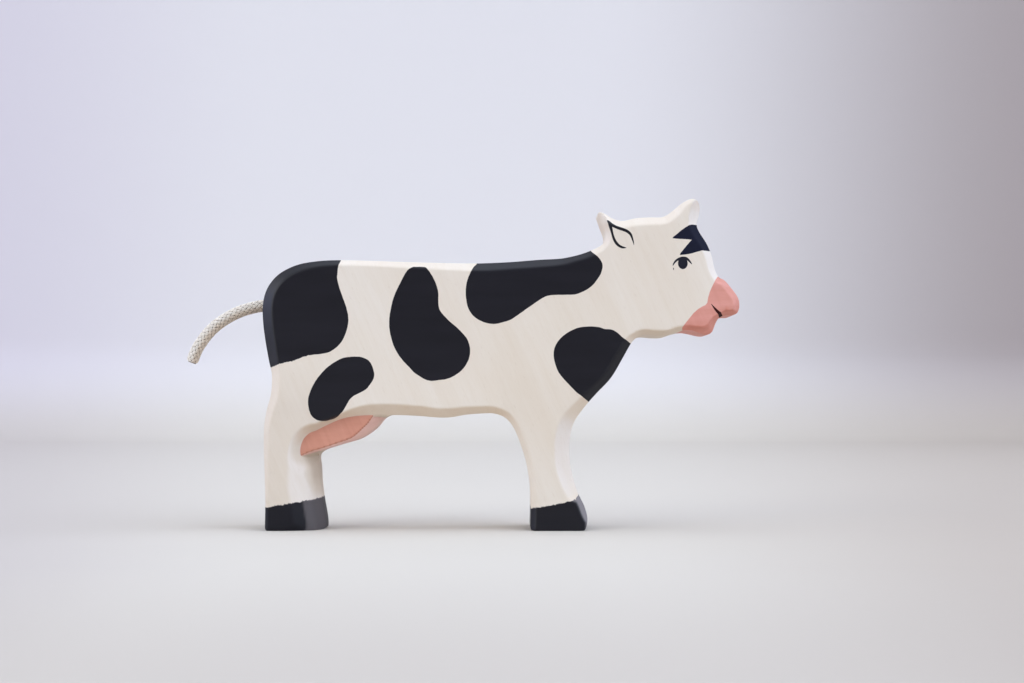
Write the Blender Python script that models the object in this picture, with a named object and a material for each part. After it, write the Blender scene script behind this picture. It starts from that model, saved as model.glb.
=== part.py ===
"""Flat wooden toy cow with a braided cord tail, modelled piece by piece.

Metres, +Z up, +X towards the nose. The cow stands on Z = 0 and is centred in X and Y.
"""

import math

import bmesh
import bpy
from mathutils import Vector
from mathutils.geometry import delaunay_2d_cdt

# Driving dimensions of the carved figure
body_length = 0.150
body_height = 0.1042
plank_thickness = 0.026
udder_thickness = 0.019
edge_chamfer = 0.0033

# The cord tail, and the blind hole in the rump that holds its end
cord_diameter = 0.0040
hole_clearance = 0.0003
root_length = 0.0120
glue_thickness = 0.0010
seat_gap = 0.0003
tail_below_back = 0.0135

# How finely curves are drawn
steps_per_span = 3
sole_spans = 4
hole_sides = 32
cord_sides = 24
crease_angle_deg = 30
cord_bevel_resolution = 3
cord_points_apart_share = 2.0
dome_angles_deg = (25, 55, 90)
cutter_overrun = 0.004

# Least clearance that a point of the chamfer's inner line keeps from the outline,
# as a share of the chamfer's own width
inner_line_clearance_share = 0.8
weld_distance = 0.000001

# Outline of the figure, counter-clockwise seen from its right side. Each row holds the
# distance from the rump as a share of body_length, the height as a share of body_height,
# and the chamfer's width as a share of edge_chamfer. A fourth value is the chamfer's
# depth as a share of edge_chamfer, where it isn't cut at 45 degrees.
fore_leg_front_shares = [
    (0.675, 0.000, 0.33), (0.679, 0.024, 0.33), (0.677, 0.057, 0.43), (0.663, 0.105, 0.62),
    (0.651, 0.159, 1.05), (0.644, 0.213, 1.14), (0.644, 0.270, 1.10), (0.651, 0.321, 1.00),
    (0.670, 0.364, 0.90)]
chest_shares = [(0.698, 0.411, 0.76), (0.730, 0.460, 0.76), (0.754, 0.518, 0.76), (0.771, 0.562, 0.67)]
jaw_shares = [
    (0.781, 0.578, 0.52), (0.798, 0.589, 0.43), (0.824, 0.586, 0.43), (0.848, 0.587, 0.43),
    (0.869, 0.598, 0.33), (0.894, 0.605, 0.29)]
chin_shares = [
    (0.917, 0.599, 0.48), (0.933, 0.592, 0.67), (0.944, 0.601, 0.67), (0.949, 0.619, 0.57),
    (0.953, 0.637, 0.29)]
nose_shares = [
    (0.961, 0.644, 0.19), (0.981, 0.645, 0.48), (0.995, 0.655, 0.57), (1.000, 0.677, 0.67),
    (0.996, 0.703, 0.86), (0.983, 0.733, 0.86), (0.965, 0.756, 0.76)]
brow_shares = [
    (0.954, 0.763, 0.57), (0.946, 0.790, 0.67), (0.940, 0.826, 0.76), (0.930, 0.865, 0.76),
    (0.916, 0.901, 0.76)]
horn_shares = [
    (0.910, 0.925, 0.86), (0.916, 0.955, 1.05), (0.917, 0.979, 0.86), (0.911, 0.995, 0.48),
    (0.899, 1.000, 0.38)]
crown_shares = [
    (0.880, 0.988, 0.48), (0.861, 0.966, 0.67), (0.840, 0.946, 0.71), (0.810, 0.945, 0.76),
    (0.781, 0.942, 0.76), (0.752, 0.933, 0.67), (0.730, 0.943, 0.57)]
ear_shares = [
    (0.720, 0.954, 0.48), (0.710, 0.961, 0.38), (0.705, 0.952, 0.57), (0.711, 0.928, 0.76),
    (0.719, 0.898, 0.67), (0.716, 0.872, 0.57), (0.702, 0.853, 0.57)]
back_shares = [
    (0.681, 0.840, 0.57), (0.654, 0.828, 0.57), (0.623, 0.820, 0.67), (0.581, 0.817, 0.76),
    (0.519, 0.810, 0.76), (0.448, 0.806, 0.76), (0.373, 0.807, 0.67), (0.289, 0.810, 0.57),
    (0.227, 0.813, 0.52)]
rump_shares = [
    (0.164, 0.815, 0.52), (0.122, 0.813, 0.57), (0.079, 0.804, 0.71), (0.047, 0.786, 0.81),
    (0.025, 0.763, 0.93), (0.009, 0.728, 1.00), (0.001, 0.685, 1.00), (0.001, 0.634, 1.00),
    (0.006, 0.574, 1.00), (0.013, 0.514, 0.95)]
hind_leg_back_shares = [
    (0.019, 0.468, 0.86), (0.017, 0.411, 0.76), (0.009, 0.366, 0.67), (0.004, 0.321, 0.57),
    (0.003, 0.264, 0.48), (0.005, 0.183, 0.33), (0.007, 0.093, 0.25), (0.006, 0.000, 0.25)]
hind_leg_front_shares = [
    (0.124, 0.000, 1.71, 1.90), (0.123, 0.033, 1.62, 1.90), (0.116, 0.092, 1.38, 1.90),
    (0.111, 0.147, 1.24, 1.81), (0.109, 0.195, 1.19, 1.71), (0.106, 0.231, 1.14, 1.62)]
udder_root_shares = [
    (0.108, 0.258, 1.14, 1.62), (0.118, 0.281, 1.05, 1.52), (0.137, 0.300, 0.95, 1.43),
    (0.162, 0.318, 0.86, 1.33), (0.189, 0.332, 0.86, 1.24), (0.218, 0.341, 0.90, 1.10)]
belly_shares = [
    (0.250, 0.346, 0.95), (0.285, 0.348, 0.95), (0.331, 0.345, 0.95), (0.364, 0.341, 0.86),
    (0.393, 0.341, 0.86), (0.425, 0.349, 0.76), (0.460, 0.353, 0.67), (0.485, 0.353, 0.62)]
fore_leg_back_shares = [
    (0.507, 0.340, 0.57), (0.525, 0.308, 0.52), (0.540, 0.255, 0.48), (0.552, 0.195, 0.48),
    (0.559, 0.129, 0.46), (0.561, 0.069, 0.46), (0.561, 0.000, 0.46)]
sole_chamfer_share = 0.12

# The udder is a thinner tongue of the same wood. Its hidden edge lies inside the body.
udder_edge_shares = [
    (0.081, 0.224, 0.19), (0.104, 0.231, 0.19), (0.131, 0.246, 0.23), (0.161, 0.262, 0.24),
    (0.186, 0.272, 0.25), (0.207, 0.286, 0.33), (0.227, 0.309, 0.48), (0.241, 0.329, 0.57),
    (0.258, 0.343, 0.57)]
udder_hidden_edge_shares = [
    (0.256, 0.360, 0.19), (0.210, 0.366, 0.19), (0.160, 0.353, 0.19), (0.118, 0.330, 0.19),
    (0.085, 0.303, 0.19), (0.064, 0.261, 0.19), (0.068, 0.231, 0.19)]

# The tail's route from its exit in the rump: metres backwards and metres down
tail_route = [
    (0.0000, 0.0000), (0.0026, 0.0002), (0.0058, 0.0009), (0.0090, 0.0019), (0.0122, 0.0034),
    (0.0154, 0.0054), (0.0186, 0.0081), (0.0214, 0.0116), (0.0233, 0.0148), (0.0246, 0.0184)]
route_steps = 12


def clear_scene():
    """Empty the file, so that the model stands alone."""
    for old in list(bpy.data.objects):
        bpy.data.objects.remove(old, do_unlink=True)


def make_material(name, colour, roughness):
    """A plain Principled material."""
    material = bpy.data.materials.new(name)
    material.use_nodes = True
    shader = material.node_tree.nodes["Principled BSDF"]
    shader.inputs["Base Color"].default_value = (*colour, 1.0)
    shader.inputs["Roughness"].default_value = roughness
    shader.inputs["Metallic"].default_value = 0.0
    return material


def add_object(name, data, material=None):
    """Put a mesh or curve into the scene under its own name."""
    thing = bpy.data.objects.new(name, data)
    bpy.context.scene.collection.objects.link(thing)
    if material is not None:
        data.materials.append(material)
    return thing


def hide_as_tool(thing):
    """Mark an object that only cuts or joins another one."""
    thing.hide_render = True
    thing.display_type = "WIRE"


def shade_round(data):
    """Shade a mesh smooth, but keep its creases."""
    data.shade_smooth()
    data.set_sharp_from_angle(angle=math.radians(crease_angle_deg))


def smooth_curve(points, steps):
    """Points of a smooth curve through the given points, ends included."""
    before = 2 * points[0] - points[1]
    after = 2 * points[-1] - points[-2]
    held = [before, *points, after]
    curve = []
    for a, b, c, d in zip(held, held[1:], held[2:], held[3:]):
        for step in range(steps):
            t = step / steps
            curve.append(
                b
                + (c - a) * (t / 2)
                + (2 * a - 5 * b + 4 * c - d) * (t * t / 2)
                + (3 * b - a - 3 * c + d) * (t * t * t / 2)
            )
    curve.append(points[-1])
    return curve


def sized_row(row):
    """A row of shares as real sizes: x, z, chamfer width, chamfer depth."""
    along, up, width = row[:3]
    depth = row[3] if len(row) == 4 else width
    return Vector((
        (along - 0.5) * body_length,
        up * body_height,
        width * edge_chamfer,
        depth * edge_chamfer,
    ))


def smooth_rows(*tables):
    """One smooth run of the outline through the rows of several tables."""
    rows = [sized_row(row) for table in tables for row in table]
    return smooth_curve(rows, steps_per_span)


def sole(back_row, front_row):
    """Straight underside of a hoof, between the places where the leg's chamfers run out."""
    back = sized_row(back_row)
    front = sized_row(front_row)
    broken = sole_chamfer_share * edge_chamfer
    start = back[0] + back[2] * (1 - broken / back[3])
    end = front[0] - front[2] * (1 - broken / front[3])
    run = []
    for step in range(sole_spans + 1):
        along = start + (end - start) * step / sole_spans
        run.append(Vector((along, 0, broken, broken)))
    return run


def body_stretches():
    """The carved figure's outline in stretches, which meet at the corners of the hooves."""
    upper = smooth_rows(
        fore_leg_front_shares, chest_shares, jaw_shares, chin_shares, nose_shares, brow_shares,
        horn_shares, crown_shares, ear_shares, back_shares, rump_shares, hind_leg_back_shares,
    )
    hind_sole = sole(hind_leg_back_shares[-1], hind_leg_front_shares[0])
    lower = smooth_rows(
        hind_leg_front_shares, udder_root_shares, belly_shares, fore_leg_back_shares,
    )
    fore_sole = sole(fore_leg_back_shares[-1], fore_leg_front_shares[0])
    return [upper, hind_sole, lower, fore_sole]


def udder_stretches():
    """The udder's outline: the edge that shows, and the edge inside the body."""
    return [smooth_rows(udder_edge_shares), smooth_rows(udder_hidden_edge_shares)]


def distance_to_segment(point, start, end):
    """Distance in the plane from a point to a straight segment."""
    run = end - start
    share = (point - start).dot(run) / run.length_squared
    share = min(max(share, 0.0), 1.0)
    return (point - start - run * share).length


def clear_of_edge(place, outline):
    """Whether a place lies far enough in from every part of the outline."""
    for a, b in zip(outline, outline[1:] + outline[:1]):
        least = inner_line_clearance_share * min(a[2], b[2])
        if distance_to_segment(place, Vector(a[:2]), Vector(b[:2])) < least:
            return False
    return True


def inner_lines(stretches):
    """The chamfer's inner line in runs: the outline moved inwards by the chamfer's width."""
    outline = sum(stretches, [])
    runs = []
    for stretch in stretches:
        held = [stretch[0], *stretch, stretch[-1]]
        run = []
        for before, row, after in zip(held, held[1:], held[2:]):
            tangent = Vector(after[:2]) - Vector(before[:2])
            inward = Vector((-tangent.y, tangent.x)).normalized()
            moved = Vector(row[:2]) + inward * row[2]
            if clear_of_edge(moved, outline):
                run.append(moved)
            else:
                runs.append(run)
                run = []
        runs.append(run)
    return runs


def carved_plate(name, stretches, thickness):
    """A plate with the outline's walls, a chamfer on each side and flat faces."""
    outline = sum(stretches, [])
    half = thickness / 2
    points = [Vector(row[:2]) for row in outline]
    heights = [half - row[3] for row in outline]
    creases = []
    for run in inner_lines(stretches):
        creases += [(len(points) + k, len(points) + k + 1) for k in range(len(run) - 1)]
        points += run
        heights += [half] * len(run)
    flat, _, triangles, sources, _, _ = delaunay_2d_cdt(
        points, creases, [list(range(len(outline)))], 1, weld_distance)
    mesh = bmesh.new()
    near = []
    far = []
    for place, source in zip(flat, sources):
        height = min((heights[k] for k in source), default=half)
        near.append(mesh.verts.new((place.x, -height, place.y)))
        far.append(mesh.verts.new((place.x, height, place.y)))
    sides = set()
    for a, b, c in triangles:
        mesh.faces.new((near[a], near[b], near[c]))
        mesh.faces.new((far[c], far[b], far[a]))
        sides.update(((a, b), (b, c), (c, a)))
    for a, b in sorted(sides):
        if (b, a) not in sides:
            mesh.faces.new((near[b], near[a], far[a], far[b]))
    bmesh.ops.recalc_face_normals(mesh, faces=mesh.faces)
    data = bpy.data.meshes.new(name)
    mesh.to_mesh(data)
    mesh.free()
    shade_round(data)
    return data


def rod_mesh(name, diameter, length, sides):
    """A round rod from the origin along +Z."""
    mesh = bmesh.new()
    bmesh.ops.create_cone(
        mesh, cap_ends=True, segments=sides,
        radius1=diameter / 2, radius2=diameter / 2, depth=length)
    bmesh.ops.translate(mesh, verts=mesh.verts, vec=(0, 0, length / 2))
    data = bpy.data.meshes.new(name)
    mesh.to_mesh(data)
    mesh.free()
    shade_round(data)
    return data


def lay_into_rump(thing, mouth, depth):
    """Turn a rod to run forwards into the rump, starting at a depth from the mouth."""
    thing.rotation_euler = (0, math.pi / 2, 0)
    thing.location = mouth + Vector((depth, 0, 0))


def rump_at_height(stretch, height):
    """The rearmost place of the outline at a height, on the middle plane."""
    found = []
    for a, b in zip(stretch, stretch[1:]):
        if min(a[1], b[1]) <= height <= max(a[1], b[1]) and a[1] != b[1]:
            t = (height - a[1]) / (b[1] - a[1])
            found.append(a[0] + (b[0] - a[0]) * t)
    return Vector((min(found), 0, height))


def tail_places(mouth):
    """Centre line of the free cord, evenly spaced, with its rounded inner end first."""
    radius = cord_diameter / 2
    route = [mouth + Vector((-back, 0, -down)) for back, down in tail_route]
    fine = smooth_curve(route, route_steps)
    start = mouth + Vector((-seat_gap, 0, 0))
    places = []
    for angle in dome_angles_deg:
        turn = math.radians(angle)
        offset = radius * (1 - math.cos(turn))
        places.append((start + Vector((-offset, 0, 0)), math.sin(turn)))
    first = radius + seat_gap
    travelled = [0.0]
    for a, b in zip(fine, fine[1:]):
        travelled.append(travelled[-1] + (b - a).length)
    free = travelled[-1] - first
    spans = max(2, round(free / (cord_points_apart_share * cord_diameter)))
    for span in range(1, spans + 1):
        wanted = first + free * span / spans
        k = max(i for i, gone in enumerate(travelled[:-1]) if gone < wanted)
        t = (wanted - travelled[k]) / (travelled[k + 1] - travelled[k])
        places.append((fine[k].lerp(fine[k + 1], t), 1.0))
    return places


def tail_curve(places, pivot):
    """The free cord as a bevelled curve with filled ends, about its pivot."""
    data = bpy.data.curves.new("tail_cord", "CURVE")
    data.dimensions = "3D"
    data.bevel_depth = cord_diameter / 2
    data.bevel_resolution = cord_bevel_resolution
    data.use_fill_caps = True
    spline = data.splines.new("POLY")
    spline.points.add(len(places) - 1)
    for point, (place, swell) in zip(spline.points, places):
        point.co = (*(place - pivot), 1.0)
        point.radius = swell
    return data


def build():
    """Make every piece of the toy."""
    clear_scene()
    maple = make_material("oiled_maple", (0.76, 0.70, 0.61), 0.55)
    cotton = make_material("cotton_cord", (0.72, 0.65, 0.55), 0.95)
    glue = make_material("wood_glue", (0.80, 0.74, 0.56), 0.35)

    # The carved figure: one plank, with the udder's tongue and the tail's blind hole
    stretches = body_stretches()
    figure = add_object(
        "carved_body", carved_plate("carved_body", stretches, plank_thickness), maple)
    tongue = add_object(
        "udder_tongue", carved_plate("udder_tongue", udder_stretches(), udder_thickness))
    hide_as_tool(tongue)
    join = figure.modifiers.new("udder", "BOOLEAN")
    join.operation = "UNION"
    join.solver = "EXACT"
    join.object = tongue

    back_height = rump_shares[0][1] * body_height
    mouth = rump_at_height(stretches[0], back_height - tail_below_back)
    hole_depth = root_length + glue_thickness + 2 * seat_gap
    hole_diameter = cord_diameter + 2 * hole_clearance
    drill = add_object(
        "tail_hole_drill",
        rod_mesh("tail_hole_drill", hole_diameter, hole_depth + cutter_overrun, hole_sides))
    lay_into_rump(drill, mouth, -cutter_overrun)
    hide_as_tool(drill)
    bore = figure.modifiers.new("tail_hole", "BOOLEAN")
    bore.operation = "DIFFERENCE"
    bore.solver = "EXACT"
    bore.object = drill

    # The cord's glued end, and the glue that has pooled behind it
    root = add_object("tail_root", rod_mesh("tail_root", cord_diameter, root_length, cord_sides), cotton)
    lay_into_rump(root, mouth, 0)
    pool = add_object("tail_glue", rod_mesh("tail_glue", cord_diameter, glue_thickness, cord_sides), glue)
    lay_into_rump(pool, mouth, root_length + seat_gap)

    # The free cord, which flexes about the place where it leaves the rump
    places = tail_places(mouth)
    pivot = mouth + Vector((-seat_gap - cord_diameter / 2, 0, 0))
    hinge = add_object("tail_pivot", None)
    hinge.location = pivot
    cord = add_object("tail_cord", tail_curve(places, pivot), cotton)
    cord.parent = hinge


build()
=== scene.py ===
"""Flat wooden toy cow with a braided cotton tail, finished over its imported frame.

Metres, +Z up, +X towards the nose. The cow stands on Z = 0 and its right side faces -Y.
"""
import math

import bpy
import numpy as np
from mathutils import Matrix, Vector, noise
from mathutils.geometry import delaunay_2d_cdt


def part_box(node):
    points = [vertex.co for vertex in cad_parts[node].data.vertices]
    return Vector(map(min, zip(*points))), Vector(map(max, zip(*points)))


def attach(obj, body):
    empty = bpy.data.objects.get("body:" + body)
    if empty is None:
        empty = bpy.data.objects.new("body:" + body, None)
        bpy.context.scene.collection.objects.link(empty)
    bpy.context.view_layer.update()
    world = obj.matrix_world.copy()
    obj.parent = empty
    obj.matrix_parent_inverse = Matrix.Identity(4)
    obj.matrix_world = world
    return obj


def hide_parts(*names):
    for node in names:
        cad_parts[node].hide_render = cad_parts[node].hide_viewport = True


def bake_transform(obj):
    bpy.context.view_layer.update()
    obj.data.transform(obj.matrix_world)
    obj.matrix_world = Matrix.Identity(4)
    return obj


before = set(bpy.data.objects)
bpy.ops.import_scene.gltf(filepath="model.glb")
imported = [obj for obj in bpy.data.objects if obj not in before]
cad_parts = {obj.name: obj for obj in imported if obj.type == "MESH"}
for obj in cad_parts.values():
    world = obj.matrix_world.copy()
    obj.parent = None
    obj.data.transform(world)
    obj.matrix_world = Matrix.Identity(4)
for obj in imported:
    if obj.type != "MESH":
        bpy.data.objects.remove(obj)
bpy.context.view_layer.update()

scene = bpy.context.scene
scene.view_settings.view_transform = "Standard"

# The viewpoint: square to the cow's right side, about half a metre off and at the height
# of its udder. The lens is shifted up, so that the toy stands in the picture's middle.
camera_data = bpy.data.cameras.new("viewpoint")
camera_data.sensor_width = 36
camera_data.lens = 53.95
camera_data.shift_y = 0.064
camera_data.clip_start = 0.01


def placed(name, data):
    """A new object in the scene."""
    thing = bpy.data.objects.new(name, data)
    scene.collection.objects.link(thing)
    return thing


camera = placed("viewpoint", camera_data)
camera.location = (0.0034, -0.493, 0.0388)
camera.rotation_euler = (math.pi / 2, 0, 0)
scene.camera = camera

# The tail: 4 mm cotton cord, sixteen strands braided round a core, each strand two yarns
# laid side by side. It is cut square, and 12 mm of it is glued into the hole in the rump.
tail_diameter = 0.0040
tail_root_length = 0.0120
tail_pitch = 0.0144
tail_strands_each_way = 8
yarn_width = 0.00042
yarn_thickness = 0.00044
yarn_rise = 0.00022
yarn_spacing = 0.94
yarn_sides = 6
steps_per_crossing = 5
core_sides = 16
worn_end = 0.03
worn_narrowing = 0.35
route_step = 0.00025
tail_route = [
    (0.0000, 0.0000), (0.0026, 0.0002), (0.0058, 0.0009), (0.0090, 0.0019), (0.0122, 0.0034),
    (0.0154, 0.0054), (0.0186, 0.0081), (0.0214, 0.0116), (0.0233, 0.0148), (0.0246, 0.0184)]


def feed(node, sockets):
    """Link sockets of a node in the present tree to others' results, or give them values."""
    for key, given in sockets.items():
        if isinstance(key, str):
            socket = next(s for s in node.inputs if s.name == key and s.enabled)
        else:
            socket = node.inputs[key]
        if isinstance(given, bpy.types.NodeSocket):
            tree.links.new(given, socket)
        else:
            socket.default_value = given


def put(kind, sockets=None, **settings):
    """Add a node to the present tree, set its properties, and feed its sockets."""
    node = tree.nodes.new(kind)
    for name, value in settings.items():
        setattr(node, name, value)
    feed(node, sockets or {})
    return node


def calc(operation, *given):
    """The result of one Math node."""
    return put("ShaderNodeMath", dict(enumerate(given)), operation=operation).outputs[0]


def vector_of(operation, *given, **named):
    """The vector result of one Vector Math node."""
    node = put("ShaderNodeVectorMath", {**dict(enumerate(given)), **named}, operation=operation)
    return node.outputs["Vector"]


def smooth_curve(rows, steps):
    """A smooth curve through the rows of an array, with so many steps between two rows."""
    rows = np.asarray(rows, dtype=float)
    held = np.vstack([2 * rows[0] - rows[1], rows, 2 * rows[-1] - rows[-2]])
    t = (np.arange(steps) / steps)[:, None]
    spans = [
        b + (c - a) * (t / 2) + (2 * a - 5 * b + 4 * c - d) * (t ** 2 / 2)
        + (3 * b - a - 3 * c + d) * (t ** 3 / 2)
        for a, b, c, d in zip(held, held[1:], held[2:], held[3:])]
    return np.vstack([*spans, rows[-1:]])


def evenly(curve, spacing, plane=2):
    """The same curve in equal steps, measured along its first columns."""
    steps = np.linalg.norm(np.diff(curve[:, :plane], axis=0), axis=1)
    gone = np.concatenate([[0], np.cumsum(steps)])
    wanted = np.linspace(0, gone[-1], max(2, round(gone[-1] / spacing)) + 1)
    return np.stack([np.interp(wanted, gone, column) for column in curve.T], axis=1)


def braided_cord_tree():
    """A tubular braid laid along a route, of yarns that pass over and under each other."""
    global tree
    tree = bpy.data.node_groups.new("braided_cord", "GeometryNodeTree")
    sockets = {"Route": "Geometry", "Strands Each Way": "Int", "Turns": "Float",
               "Length": "Float", "Cord Diameter": "Float", "Yarn Width": "Float",
               "Yarn Thickness": "Float", "Rise": "Float", "Yarn Sides": "Int",
               "Lengthwise Steps": "Int", "Worn End": "Float", "Cotton": "Material"}
    for name, kind in sockets.items():
        tree.interface.new_socket(name, in_out="INPUT", socket_type="NodeSocket" + kind)
    tree.interface.new_socket("Geometry", in_out="OUTPUT", socket_type="NodeSocketGeometry")
    given = put("NodeGroupInput").outputs

    # One straight yarn for each that the braid has: two to a strand, strands both ways
    tube = put("GeometryNodeMeshCylinder", {
        "Vertices": given["Yarn Sides"], "Side Segments": given["Lengthwise Steps"],
        "Radius": 1.0, "Depth": 1.0}, fill_type="TRIANGLE_FAN")
    one = put("GeometryNodeGeometryToInstance", {0: tube.outputs["Mesh"]})
    copies = put("GeometryNodeDuplicateElements", {
        "Geometry": one.outputs[0],
        "Amount": calc("MULTIPLY", given["Strands Each Way"], 4)}, domain="INSTANCE")
    numbered = put("GeometryNodeStoreNamedAttribute", {
        "Geometry": copies.outputs["Geometry"], "Name": "yarn_number",
        "Value": copies.outputs["Duplicate Index"]}, domain="INSTANCE", data_type="FLOAT")
    laid = put("GeometryNodeRealizeInstances", {0: numbered.outputs[0]}).outputs[0]
    number = put("GeometryNodeInputNamedAttribute", {
        "Name": "yarn_number"}, data_type="FLOAT").outputs["Attribute"]
    place = put("ShaderNodeSeparateXYZ", {
        0: put("GeometryNodeInputPosition").outputs[0]}).outputs
    along = calc("ADD", place["Z"], 0.5)

    # Where the yarn's middle runs: round the cord one way or the other, over and under
    way = calc("MULTIPLY_ADD", calc("MODULO", number, 2.0), 2.0, -1.0)
    half = calc("FLOOR", calc("DIVIDE", number, 2.0))
    beside = calc("SUBTRACT", calc("MODULO", half, 2.0), 0.5)
    strand = calc("FLOOR", calc("DIVIDE", half, 2.0))
    start = calc("DIVIDE", calc("MULTIPLY", strand, 2 * math.pi), given["Strands Each Way"])
    winding = calc("MULTIPLY", given["Turns"], 2 * math.pi)
    turned = calc("MULTIPLY_ADD", calc("MULTIPLY", way, winding), along, start)
    crossing = calc("MULTIPLY", calc("MULTIPLY", winding, given["Strands Each Way"]), along)
    wave = calc("MULTIPLY", calc("COSINE", crossing), way)
    middle = calc("SUBTRACT", calc("MULTIPLY", calc(
        "SUBTRACT", given["Cord Diameter"], given["Yarn Thickness"]), 0.5), given["Rise"])
    slant = calc("ARCTANGENT", calc("DIVIDE", calc("MULTIPLY", winding, middle), given["Length"]))

    # A place across the yarn lies along and round the cord, a place up it lies outwards
    offset = calc("MULTIPLY", given["Yarn Width"], calc(
        "MULTIPLY_ADD", beside, yarn_spacing, calc("MULTIPLY", place["X"], 0.5)))
    shift = calc("DIVIDE", calc(
        "MULTIPLY", calc("MULTIPLY", calc("SINE", slant), way), offset), given["Length"])
    station = put("ShaderNodeClamp", {0: calc("SUBTRACT", along, shift)}).outputs[0]
    angle = calc("ADD", turned, calc("DIVIDE", calc(
        "MULTIPLY", calc("COSINE", slant), offset), middle))
    radius = calc("ADD", calc("MULTIPLY_ADD", given["Rise"], wave, middle), calc(
        "MULTIPLY", calc("MULTIPLY", given["Yarn Thickness"], 0.5), place["Y"]))
    worn = put("ShaderNodeMapRange", {
        "Value": station, "From Min": calc("SUBTRACT", 1.0, given["Worn End"]), "From Max": 1.0,
        "To Min": 0.0, "To Max": 1.0}).outputs[0]
    radius = calc("MULTIPLY", radius, calc(
        "MULTIPLY_ADD", calc("MULTIPLY", worn, worn), -worn_narrowing, 1.0))

    line = put("GeometryNodeMeshToCurve", {0: given["Route"]}).outputs[0]
    there = put("GeometryNodeSampleCurve", {
        "Curves": line, "Factor": station}, mode="FACTOR").outputs
    sideways = (0.0, 1.0, 0.0)
    upwards = vector_of("NORMALIZE", vector_of(
        "CROSS_PRODUCT", sideways, there["Tangent"]))
    outwards = vector_of(
        "ADD",
        vector_of("SCALE", upwards, Scale=calc("MULTIPLY", calc("COSINE", angle), radius)),
        vector_of("SCALE", sideways, Scale=calc("MULTIPLY", calc("SINE", angle), radius)))
    for name, value in {"cord_along": along, "yarn_across": place["X"], "yarn_up": place["Y"],
                        "over_under": wave, "in_a_yarn": 1.0,
                        "upper_side": calc("COSINE", angle)}.items():
        laid = put("GeometryNodeStoreNamedAttribute", {
            "Geometry": laid, "Name": name, "Value": value},
            domain="POINT", data_type="FLOAT").outputs[0]
    laid = put("GeometryNodeSetPosition", {
        "Geometry": laid,
        "Position": vector_of("ADD", there["Position"], outwards)}).outputs[0]

    # The core that the braid is drawn over
    ring = put("GeometryNodeCurvePrimitiveCircle", {
        "Resolution": core_sides, "Radius": calc("SUBTRACT", middle, given["Rise"])}).outputs[0]
    core = put("GeometryNodeCurveToMesh", {
        "Curve": line, "Profile Curve": ring, "Fill Caps": True}).outputs[0]
    both = put("GeometryNodeJoinGeometry", {0: laid})
    tree.links.new(core, both.inputs[0])
    whole = put("GeometryNodeRealizeInstances", {0: both.outputs[0]}).outputs[0]
    dyed = put("GeometryNodeSetMaterial", {
        "Geometry": whole, "Material": given["Cotton"]}).outputs[0]
    put("NodeGroupOutput", {0: dyed})
    return tree


def mesh_of(name, points, edges=(), faces=()):
    """A new mesh from its points, edges and faces."""
    mesh = bpy.data.meshes.new(name)
    mesh.from_pydata(points, edges, faces)
    return mesh


def settled(piece):
    """Turn a piece's modifiers into a plain mesh, and return that mesh."""
    bpy.context.view_layer.update()
    graph = bpy.context.evaluated_depsgraph_get()
    made = bpy.data.meshes.new_from_object(
        piece.evaluated_get(graph), preserve_all_data_layers=True, depsgraph=graph)
    piece.modifiers.clear()
    piece.data = made
    made.name = piece.name
    return made


def through_tree(name, start, maker_tree, values):
    """Run a mesh through a Geometry Nodes tree and keep the result as a plain mesh."""
    maker = placed(name, start)
    modifier = maker.modifiers.new(name, "NODES")
    modifier.node_group = maker_tree
    for item in maker_tree.interface.items_tree:
        if item.in_out == "INPUT" and item.name in values:
            modifier[item.identifier] = values[item.name]
    settled(maker)
    return maker


def new_material(name):
    """A material whose tree is the present one from here on, its shader, and the place on it."""
    global tree
    material = bpy.data.materials.new(name)
    material.use_nodes = True
    tree = material.node_tree
    where = put("ShaderNodeTexCoord").outputs["Object"]
    return material, tree.nodes["Principled BSDF"], where


def read(name):
    """A number stored on the mesh."""
    return put("ShaderNodeAttribute", attribute_name=name).outputs["Fac"]


def blend_of(amount, first, second, kind="MIX"):
    """Two colours mixed by an amount."""
    return put("ShaderNodeMix", {0: amount, 6: first, 7: second},
               data_type="RGBA", blend_type=kind).outputs[2]


def stained(base, pattern, strength, stain):
    """A colour with a stain laid thinly over it, as a pattern has it."""
    return blend_of(calc("MULTIPLY", pattern, strength), base, stain)


def tinted(base, amount, red, green, blue):
    """A colour multiplied by a tint, by an amount."""
    return blend_of(amount, base, (red, green, blue, 1), "MULTIPLY")


def spread(value, low, high, to_low=0.0, to_high=1.0, smooth=False):
    """A value's span stretched to another span."""
    return put("ShaderNodeMapRange", {
        "Value": value, "From Min": low, "From Max": high, "To Min": to_low, "To Max": to_high},
        interpolation_type="SMOOTHSTEP" if smooth else "LINEAR").outputs[0]


def speckle(where, scale, detail=2.0, roughness=0.5, stretch=None, distortion=0.0):
    """Noise in object coordinates, with a scale in cycles per metre."""
    if stretch is not None:
        where = put("ShaderNodeMapping", {"Vector": where, "Scale": stretch}).outputs[0]
    return put("ShaderNodeTexNoise", {
        "Vector": where, "Scale": scale, "Detail": detail, "Roughness": roughness,
        "Distortion": distortion}).outputs["Fac"]


def bump_of(height, strength, distance):
    """The normals of a relief, whose full height is the distance in metres."""
    return put("ShaderNodeBump", {
        "Height": height, "Strength": strength, "Distance": distance}).outputs[0]


def srgb(red, green, blue):
    """A colour given as it looks on a screen, 0 to 255."""
    channels = []
    for value in (red, green, blue):
        share = value / 255
        channels.append(share / 12.92 if share <= 0.04045 else ((share + 0.055) / 1.055) ** 2.4)
    return (*channels, 1.0)


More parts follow.
